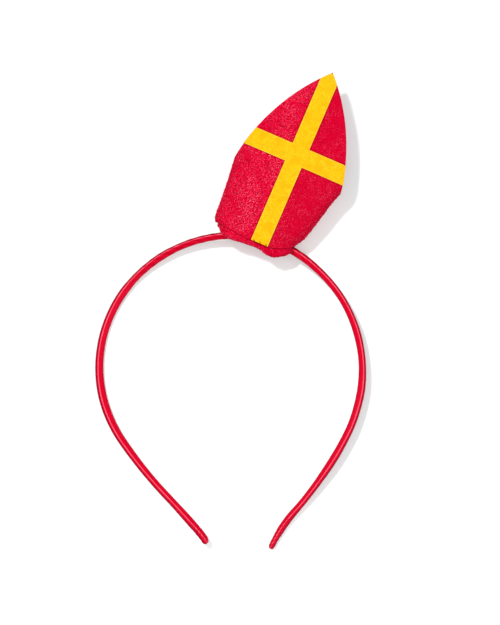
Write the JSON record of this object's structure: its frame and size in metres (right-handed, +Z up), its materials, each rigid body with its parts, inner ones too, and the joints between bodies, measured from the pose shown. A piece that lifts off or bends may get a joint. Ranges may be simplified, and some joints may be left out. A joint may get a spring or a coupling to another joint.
{
  "type": "saint nicholas headband",
  "caption": "Thin satin covered headband with a small hollow felt mitre and a plain cross, lying on its back.",
  "frame": {"origin": "middle of the object's outline seen from above, on the surface that it lies on", "axes": "+Y from the band's open ends to its crown and the mitre, +Z up from the surface, +X to the right of the mitre's front face"},
  "size_m": [0.1348, 0.2354, 0.0284],
  "materials": {
    "satin": "satin",
    "red_felt": "matte",
    "yellow_felt": "matte"
  },
  "bodies": {
    "root": {"headband": "satin", "mitre_front": "red_felt", "mitre_back": "red_felt", "cross": "yellow_felt", "base_pad": "red_felt"}
  },
  "joints": []
}
